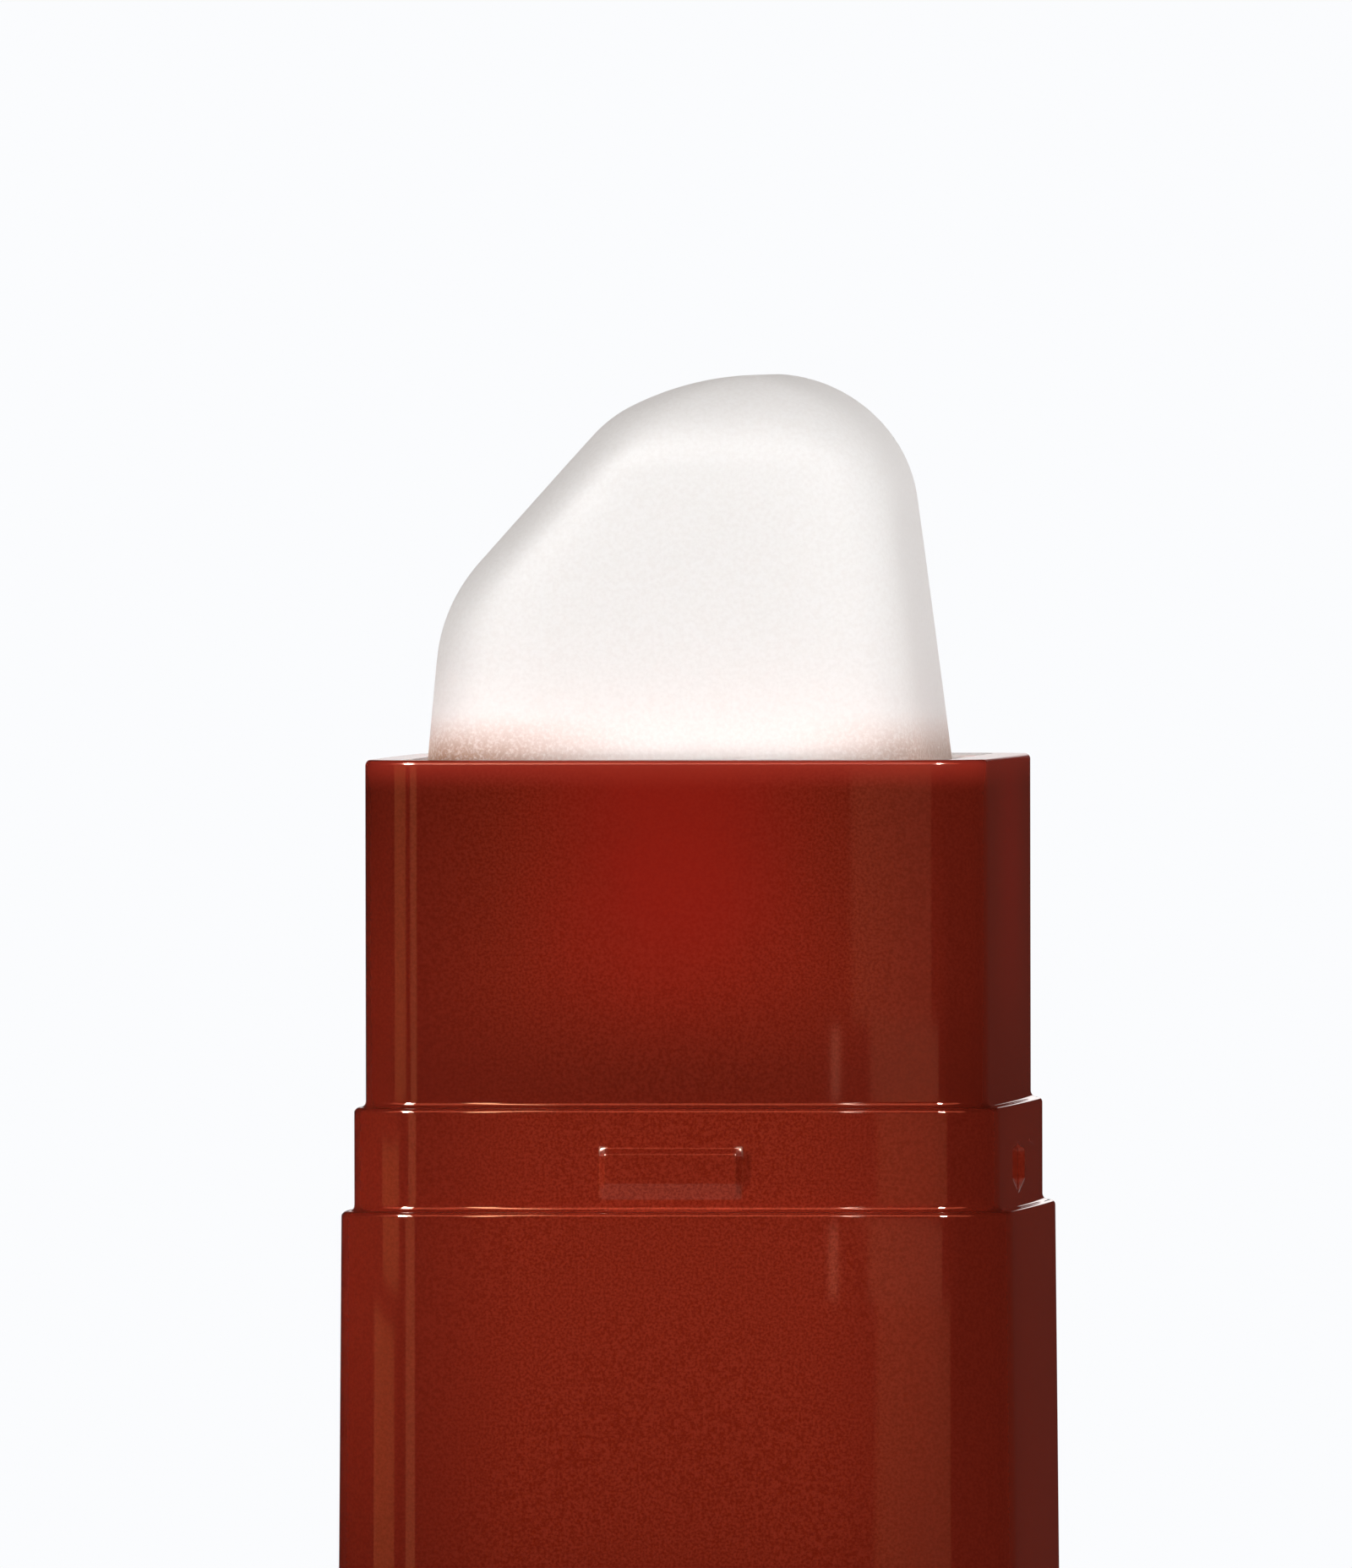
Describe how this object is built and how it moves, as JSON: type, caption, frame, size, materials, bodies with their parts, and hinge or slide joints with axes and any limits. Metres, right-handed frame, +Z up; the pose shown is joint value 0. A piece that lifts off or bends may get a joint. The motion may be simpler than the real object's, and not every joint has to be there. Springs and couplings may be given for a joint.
{
  "type": "blush stick",
  "caption": "Rounded square twist-up blush stick with a snap collar, turning base, screw-driven carrier and slant-tipped white balm bullet.",
  "frame": {"origin": "centre of the flat underside of the turning base", "axes": "+Z up along the stick's turning axis, -Y towards the side that the picture shows as the front, +X towards the high end of the slanted tip"},
  "size_m": [0.0266, 0.0266, 0.0648],
  "materials": {
    "red_shell": "polished deep red",
    "red_base": "polished deep red",
    "natural_plastic": "as moulded, uncoloured",
    "silicone": "matt",
    "balm": "satin, slightly translucent waxy balm"
  },
  "bodies": {
    "housing": {"body_shell": "red_shell", "inner_guide": "natural_plastic"},
    "turner": {"turn_base": "red_base", "spindle": "natural_plastic", "friction_ring": "silicone"},
    "carriage": {"carrier": "natural_plastic", "bullet": "balm"}
  },
  "joints": [
    {"name": "base_turn", "type": "hinge", "parent": "housing", "child": "turner", "pos_m": [0, 0, 0], "axis": [0, 0, 1], "range_deg": [-990, 300]},
    {"name": "bullet_feed", "type": "slide", "parent": "housing", "child": "carriage", "axis": [0, 0, 1], "range_m": [-0.01651, 0.00501]}
  ],
  "couplings": [
    {"joint": "bullet_feed", "follows": "base_turn", "m_per_rad": 0.00095493}
  ]
}
